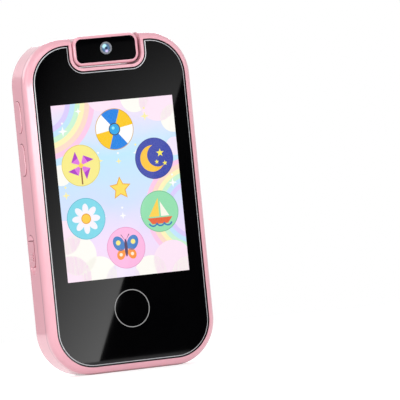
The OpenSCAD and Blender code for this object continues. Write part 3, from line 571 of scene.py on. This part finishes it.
def draw_butterfly(art, x, z):
    """Butterfly with spotted wings."""
    draw_roundel(art, x, z, rgb(255, 188, 229), rgb(232, 150, 200))
    for side in (-1, 1):
        art.shape(disc(x + 2.4 * side, z + 1.5, 1.9, 1.35, -0.5 * side), rgb(70, 130, 200), 6)
        art.shape(disc(x + 1.9 * side, z - 2.0, 1.4, 1.3, 0.5 * side), rgb(255, 150, 60), 6)
        art.shape(disc(x + 2.6 * side, z + 1.8, 0.8), rgb(255, 236, 130), 7)
        art.shape(disc(x + 2.0 * side, z - 2.1, 0.55), rgb(255, 244, 220), 7)
        feeler = [(x, z + 2.2), (x + 1.3 * side, z + 4.4), (x + 1.55 * side, z + 4.3)]
        art.shape(feeler, rgb(84, 58, 96), 7)
    art.shape(disc(x, z, 0.55, 5.2), rgb(84, 58, 96), 8)


def draw_daisy(art, x, z):
    """White daisy."""
    draw_roundel(art, x, z, rgb(128, 218, 236), rgb(92, 184, 206))
    for k in range(8):
        a = math.tau * k / 8
        place = (x + 3.0 * math.cos(a), z + 3.0 * math.sin(a))
        art.shape(disc(*place, 1.05, 1.8, a - math.pi / 2), rgb(250, 246, 255), 6)
    art.shape(disc(x, z, 1.7), rgb(236, 160, 40), 7)
    art.shape(disc(x, z, 1.4), rgb(255, 208, 70), 8)


def draw_pinwheel(art, x, z):
    """Pinwheel with four folded blades."""
    draw_roundel(art, x, z, rgb(250, 238, 140), rgb(226, 206, 100))
    stick = [(x - 0.25, z), (x + 0.25, z), (x + 0.25, z - 6.1), (x - 0.25, z - 6.1)]
    art.shape(stick, rgb(150, 104, 60), 6)
    for k in range(4):
        turn = 90 * k + 20
        a, b = math.radians(turn), math.radians(turn + 52)
        tip = (x + 4.9 * math.cos(a), z + 4.9 * math.sin(a))
        corner = (x + 3.4 * math.cos(b), z + 3.4 * math.sin(b))
        fold = (x + 2.6 * math.cos(a), z + 2.6 * math.sin(a))
        art.shape([(x, z), tip, corner], rgb(176, 58, 200), 7)
        art.shape([(x, z), fold, corner], rgb(226, 120, 226), 8)
    art.shape(disc(x, z, 0.8), rgb(255, 214, 84), 9)


def painted(name, glow):
    """Shapes of many colours, each from the mesh's own colour layer, under polished glass."""
    paint = Paint(name, {
        "Coat Weight": 1.0, "Coat Roughness": 0.03, "Coat IOR": PICTURE_IOR,
        "Specular IOR Level": 0.0, "Emission Strength": glow,
    })
    cells = paint.noise(0.25 * MM, 1)
    tone = paint.add("VertexColor", {}, layer_name="paint").outputs["Color"]
    tone = paint.mix(paint.remap(cells, 0.3, 0.7, 0.0, 0.05), tone, (1, 1, 1, 1))
    paint.set({
        "Base Color": paint.mix(0.75, tone, BLACK), "Emission Color": tone,
        "Roughness": paint.remap(cells, 0.3, 0.7, 0.5, 0.6),
    })
    return paint.material


def screen_picture():
    """The lit picture, just in front of the glass."""
    glass_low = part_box("front_glass")[0]
    cell_low, cell_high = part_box("screen_cell")
    border = 2.6 * MM
    half_width = (cell_high.x - cell_low.x) / 2 - border
    half_height = (cell_high.z - cell_low.z) / 2 - border
    middle = (cell_low.z + cell_high.z) / 2
    face_y = glass_low.y - PRINT_STEP
    backdrop = bmesh.new()
    corners = [(-1, -1), (1, -1), (1, 1), (-1, 1)]
    places = [(u * half_width, face_y, middle + v * half_height) for u, v in corners]
    backdrop.faces.new([backdrop.verts.new(place) for place in places])
    bmesh.ops.subdivide_edges(backdrop, edges=backdrop.edges[:], cuts=7, use_grid_fill=True)
    skies = sky("screen_sky", middle - half_height, middle + half_height, SCREEN_GLOW)
    add_piece("screen_sky", backdrop, "handset", [skies])
    art = Picture(middle, face_y)
    draw_sky(art)
    draw_ball(art, 0, 19.2)
    draw_night(art, 12.9, 8.6)
    draw_boat(art, 12.9, -8.6)
    draw_butterfly(art, 0, -19.2)
    draw_daisy(art, -12.9, -8.6)
    draw_pinwheel(art, -12.9, 8.6)
    art.shape(star(0, 0, 3.9, 1.9, 5), rgb(240, 170, 40), 6)
    art.shape(star(0, 0, 3.3, 1.55, 5), rgb(255, 224, 90), 7)
    art.trim(half_width / MM, half_height / MM)
    add_piece("screen_motifs", art.mesh, "handset", [painted("screen_motifs", SCREEN_GLOW)])


def touch_key_mark():
    """The thin printed ring that marks the touch key."""
    low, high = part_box("touch_key_foil")
    middle = (low.z + high.z) / 2
    radius = (high.x - low.x) / 2 / MM
    ring = Picture(middle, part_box("front_glass")[0].y)
    ring.band(0, 0, radius - 0.13, radius + 0.13, 0, 360, rgb(222, 222, 222), 1, 96)
    # The printed ring also glows a little by itself: painted light.
    add_piece("touch_key_mark", ring.mesh, "handset", [painted("touch_key_mark", 0.2)])


def lens_dome():
    """The camera's lens, deep blue, with a painted cyan highlight and a painted lavender reflection on
    it.
    """
    low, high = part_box("camera_lens")
    middle = (low + high) / 2
    radius = (high.x - low.x) / 2 * 1.17
    rise = 0.42 * MM
    rings, steps = 10, 48
    mesh = bmesh.new()
    rows = []
    for i in range(rings + 1):
        a = math.pi / 2 * i / rings
        r, y = radius * math.sin(a), low.y + rise * (1 - math.cos(a))
        turns = [math.tau * k / steps for k in range(steps)] if i else [0.0]
        rows.append([mesh.verts.new((r * math.cos(t), y, middle.z + r * math.sin(t))) for t in turns])
    rows.append([mesh.verts.new((v.co.x, high.y, v.co.z)) for v in rows[-1]])
    for k in range(steps):
        mesh.faces.new((rows[0][0], rows[1][k], rows[1][(k + 1) % steps]))
        for inner, outer in zip(rows[1:], rows[2:]):
            mesh.faces.new((inner[k], outer[k], outer[(k + 1) % steps], inner[(k + 1) % steps]))
    mesh.faces.new(rows[-1][::-1])
    bmesh.ops.recalc_face_normals(mesh, faces=mesh.faces)
    material = lens_painted_reflections("lens_painted_reflections", middle, radius)
    piece = add_piece("lens_dome", mesh, "camera_head", [material], smooth=True)
    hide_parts("camera_lens")


def lens_painted_reflections(name, middle, radius):
    """Coloured patches under clear gloss, two of them painted reflections, and a faint painted glow;
    middle and radius are the lens's own.
    """
    paint = Paint(name, {"Coat Weight": 1.0, "Coat Roughness": 0.02, "Specular IOR Level": 0.6})

    def blob(x, z, reach, soft):
        """1 inside a round patch about (x, z), given in radii of the lens, and 0 outside it."""
        centre = (middle.x + x * radius, middle.y, middle.z + z * radius)
        flat = paint.vector("MULTIPLY", paint.vector("SUBTRACT", paint.coordinates, centre), (1, 0, 1))
        distance = paint.add("VectorMath", {0: flat}, operation="LENGTH").outputs["Value"]
        return paint.remap(distance, (reach - soft) * radius, reach * radius, 1.0, 0.0, True)

    colour = paint.mix(blob(0, 0, 0.95, 0.25), rgb(12, 14, 22), rgb(70, 104, 140))
    # Painted highlight: a cyan-white patch at the upper left.
    colour = paint.mix(blob(-0.3, 0.4, 0.62, 0.4), colour, rgb(176, 226, 236))
    # Painted reflection: a lavender patch low down.
    colour = paint.mix(blob(0.12, -0.55, 0.45, 0.35), colour, rgb(196, 180, 226))
    colour = paint.mix(blob(0.05, -0.02, 0.34, 0.12), colour, rgb(22, 44, 74))
    # The lens also glows a little by itself: painted light.
    paint.set({
        "Base Color": colour, "Emission Color": colour, "Emission Strength": 0.25,
        "Roughness": paint.remap(paint.noise(0.8 * MM), 0.3, 0.7, 0.05, 0.09),
    })
    return paint.material


# Camera, lights and floor

VIEW_AZIMUTH = math.radians(-22.95)
VIEW_ELEVATION = math.radians(0.26)
VIEW_ROLL = math.radians(-5.68)
VIEW_DISTANCE = 1.633
VIEW_TARGET = Vector((0, 0, 0.0588))
# How far right of the target and below it the camera points
AIM_RIGHT = 0.0286
AIM_DOWN = 0.0035
LENS_MM = 454


def view_axes():
    """Right, up and back of the camera, before it turns aside from the target."""
    a, e, r = VIEW_AZIMUTH, VIEW_ELEVATION, VIEW_ROLL
    back = Vector((math.sin(a) * math.cos(e), -math.cos(a) * math.cos(e), math.sin(e)))
    right = Vector((math.cos(a), math.sin(a), 0))
    up = back.cross(right)
    return math.cos(r) * right + math.sin(r) * up, math.cos(r) * up - math.sin(r) * right, back


def add_camera():
    """The camera at the photograph's angle; gives back where it stands."""
    right, up, back = view_axes()
    place = VIEW_TARGET + VIEW_DISTANCE * back
    aim = VIEW_TARGET + AIM_RIGHT * right - AIM_DOWN * up
    z_axis = (place - aim).normalized()
    x_axis = up.cross(z_axis).normalized()
    y_axis = z_axis.cross(x_axis)
    data = bpy.data.cameras.new("camera")
    data.lens = LENS_MM
    data.sensor_width = 36
    data.clip_start = 0.05
    data.clip_end = 20
    camera = bpy.data.objects.new("camera", data)
    turn = Matrix((x_axis, y_axis, z_axis)).transposed()
    camera.matrix_world = Matrix.Translation(place) @ turn.to_4x4()
    bpy.context.scene.collection.objects.link(camera)
    bpy.context.scene.camera = camera
    return place


def add_lamp(name, azimuth, elevation, distance, width, height, watts):
    """A rectangular soft light that looks at the middle of the phone."""
    a, e = math.radians(azimuth), math.radians(elevation)
    away = Vector((math.sin(a) * math.cos(e), -math.cos(a) * math.cos(e), math.sin(e)))
    data = bpy.data.lights.new(name, "AREA")
    data.shape = "RECTANGLE"
    data.size = width
    data.size_y = height
    data.energy = watts
    lamp = bpy.data.objects.new(name, data)
    lamp.location = VIEW_TARGET + distance * away
    lamp.rotation_euler = away.to_track_quat("Z", "Y").to_euler()
    bpy.context.scene.collection.objects.link(lamp)
    return lamp


def seen_rays(nodes, links):
    """1 for rays from the camera, from gloss and through glass, and 0 for the rest."""
    path = nodes.new("ShaderNodeLightPath")
    total = path.outputs["Is Camera Ray"]
    for other in ("Is Glossy Ray", "Is Transmission Ray"):
        larger = nodes.new("ShaderNodeMath")
        larger.operation = "MAXIMUM"
        links.new(total, larger.inputs[0])
        links.new(path.outputs[other], larger.inputs[1])
        total = larger.outputs[0]
    return total


def set_world(light):
    """White to the eye, and a plain light of that strength on the phone."""
    world = bpy.data.worlds.new("world")
    world.use_nodes = True
    bpy.context.scene.world = world
    nodes = world.node_tree.nodes
    links = world.node_tree.links
    plain = nodes["Background"]
    plain.inputs["Color"].default_value = (1, 1, 1, 1)
    plain.inputs["Strength"].default_value = light
    white = nodes.new("ShaderNodeBackground")
    white.inputs["Color"].default_value = (1, 1, 1, 1)
    mix = nodes.new("ShaderNodeMixShader")
    links.new(seen_rays(nodes, links), mix.inputs[0])
    links.new(plain.outputs[0], mix.inputs[1])
    links.new(white.outputs[0], mix.inputs[2])
    links.new(mix.outputs[0], nodes["World Output"].inputs["Surface"])


def add_sheet(name, corners, material):
    """A flat stage piece through the corners."""
    mesh = bmesh.new()
    mesh.faces.new([mesh.verts.new(c) for c in corners])
    data = bpy.data.meshes.new(name)
    mesh.to_mesh(data)
    mesh.free()
    data.materials.append(material)
    sheet = bpy.data.objects.new(name, data)
    bpy.context.scene.collection.objects.link(sheet)
    return sheet


def add_floor():
    """Pale floor that keeps the phone's shadow and turns white to the eye further out."""
    material = bpy.data.materials.new("floor")
    material.use_nodes = True
    nodes = material.node_tree.nodes
    links = material.node_tree.links
    nodes.remove(nodes["Principled BSDF"])
    diffuse = nodes.new("ShaderNodeBsdfDiffuse")
    diffuse.inputs["Color"].default_value = rgb(235, 235, 235)
    lift = nodes.new("ShaderNodeEmission")
    lift.inputs["Strength"].default_value = 0.55
    both = nodes.new("ShaderNodeAddShader")
    links.new(diffuse.outputs[0], both.inputs[0])
    links.new(lift.outputs[0], both.inputs[1])
    white = nodes.new("ShaderNodeEmission")
    away = nodes.new("ShaderNodeVectorMath")
    away.operation = "LENGTH"
    links.new(nodes.new("ShaderNodeTexCoord").outputs["Object"], away.inputs[0])
    fade = nodes.new("ShaderNodeMapRange")
    fade.inputs["From Min"].default_value = 0.12
    fade.inputs["From Max"].default_value = 0.4
    links.new(away.outputs["Value"], fade.inputs["Value"])
    eye = nodes.new("ShaderNodeMixShader")
    links.new(fade.outputs["Result"], eye.inputs[0])
    links.new(both.outputs[0], eye.inputs[1])
    links.new(white.outputs[0], eye.inputs[2])
    out = nodes.new("ShaderNodeMixShader")
    links.new(seen_rays(nodes, links), out.inputs[0])
    links.new(diffuse.outputs[0], out.inputs[1])
    links.new(eye.outputs[0], out.inputs[2])
    links.new(out.outputs[0], nodes["Material Output"].inputs["Surface"])
    half = 1.5
    corners = [(-half, -half, 0), (half, -half, 0), (half, half, 0), (-half, half, 0)]
    return add_sheet("floor", corners, material)


# The lit card's edge on the glass, in millimetres: its place at the bottom and its lean there,
# the card's width, its lowest and highest point, and its light
SHEEN_FOOT = -15.1
SHEEN_SLOPE = 0.44
SHEEN_WIDTH = 52
SHEEN_LOW = 2
SHEEN_TOP = 106
SHEEN = 4.6
# The dark card's sides and top, and how far both cards are from the glass
CARD_LEFT = -0.04
CARD_RIGHT = 0.085
CARD_TOP = 0.15
DARK_GAP = 0.1
LIT_GAP = 0.099
# The two ends of the grey card on the floor, behind and to the left of the phone
SIDE_CARD = [(-0.045, 0.27), (-0.21, 0.2)]


def plain_card(name, glow, gloss):
    """A black card material that shines by glow."""
    material = bpy.data.materials.new(name)
    material.use_nodes = True
    sockets = material.node_tree.nodes["Principled BSDF"].inputs
    sockets["Base Color"].default_value = BLACK
    sockets["Specular IOR Level"].default_value = gloss
    sockets["Emission Color"].default_value = (1, 1, 1, 1)
    sockets["Emission Strength"].default_value = glow
    return material


def fading_card(name):
    """A card material that shines most at one corner, and fades along both its sides."""
    material = bpy.data.materials.new(name)
    material.use_nodes = True
    nodes = material.node_tree.nodes
    links = material.node_tree.links
    nodes.remove(nodes["Principled BSDF"])
    glow = nodes.new("ShaderNodeEmission")
    axes = nodes.new("ShaderNodeSeparateXYZ")
    links.new(nodes.new("ShaderNodeUVMap").outputs[0], axes.inputs[0])
    light = None
    for axis, low in (("X", 0.0), ("Y", 0.1)):
        fall = nodes.new("ShaderNodeMapRange")
        fall.inputs["To Min"].default_value = 1.0
        fall.inputs["To Max"].default_value = low
        links.new(axes.outputs[axis], fall.inputs["Value"])
        product = nodes.new("ShaderNodeMath")
        product.operation = "MULTIPLY"
        links.new(fall.outputs["Result"], product.inputs[0])
        product.inputs[1].default_value = SHEEN
        if light is not None:
            links.new(light, product.inputs[1])
        light = product.outputs[0]
    links.new(light, glow.inputs["Strength"])
    links.new(glow.outputs[0], nodes["Material Output"].inputs["Surface"])
    return material


def add_cards(eye):
    """A dark card, a lit one and a grey one, which only gloss sees.

    The first two stand parallel to the glass, so a place on the glass, in millimetres, gives
    the place on the lit card that the camera sees there.
    """
    glass_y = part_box("front_glass")[0].y

    def seen_at(x, z):
        spot = Vector((x * MM, glass_y, z * MM))
        ray = spot - eye
        return spot + Vector((ray.x, -ray.y, ray.z)) * (LIT_GAP / ray.y)

    y = glass_y - DARK_GAP
    corners = [(CARD_LEFT, y, 0), (CARD_RIGHT, y, 0), (CARD_RIGHT, y, CARD_TOP), (CARD_LEFT, y, CARD_TOP)]
    dark_card = add_sheet("dark_card", corners, plain_card("dark_card", 0.0, 0.0))
    foot, head = [SHEEN_FOOT + SHEEN_SLOPE * z for z in (SHEEN_LOW, SHEEN_TOP)]
    places = [
        (foot, SHEEN_LOW), (head, SHEEN_TOP),
        (head - SHEEN_WIDTH, SHEEN_TOP), (foot - SHEEN_WIDTH, SHEEN_LOW),
    ]
    lit_card = add_sheet("lit_card", [seen_at(x, z) for x, z in places], fading_card("lit_card"))
    uv = lit_card.data.uv_layers.new(name="sheen")
    for loop, place in zip(uv.data, [(0, 0), (0, 1), (1, 1), (1, 0)]):
        loop.uv = place
    near_end, far_end = SIDE_CARD
    corners = [(*near_end, 0), (*far_end, 0), (*far_end, CARD_TOP), (*near_end, CARD_TOP)]
    side_card = add_sheet("side_card", corners, plain_card("side_card", 0.3, 0.5))
    for card in (dark_card, lit_card, side_card):
        card.visible_camera = False
        card.visible_diffuse = False
        card.visible_shadow = False


def add_lights():
    """Soft lamps; each line gives azimuth, elevation, distance, width, height and watts."""
    add_lamp("key", -20, 42, 0.9, 0.6, 0.5, 1.2)
    add_lamp("left_fill", -80, 20, 0.8, 0.4, 0.6, 1.0)
    add_lamp("left_strip", -44, 3, 0.8, 1.1, 0.1, 2.4)
    add_lamp("front_low", 8, 5, 0.9, 0.7, 0.2, 2.5)
    add_lamp("right_fill", 70, 25, 0.9, 0.4, 0.6, 0.5)
    add_lamp("back_left", -140, 30, 0.9, 0.5, 0.6, 1.9)
    add_lamp("back_right", 150, 35, 0.9, 0.5, 0.6, 2.7)


dress_cad_nodes()
cover_glass()
screen_picture()
touch_key_mark()
lens_dome()
eye = add_camera()
set_world(0.36)
add_floor()
add_cards(eye)
add_lights()
bpy.context.scene.view_settings.view_transform = "Standard"
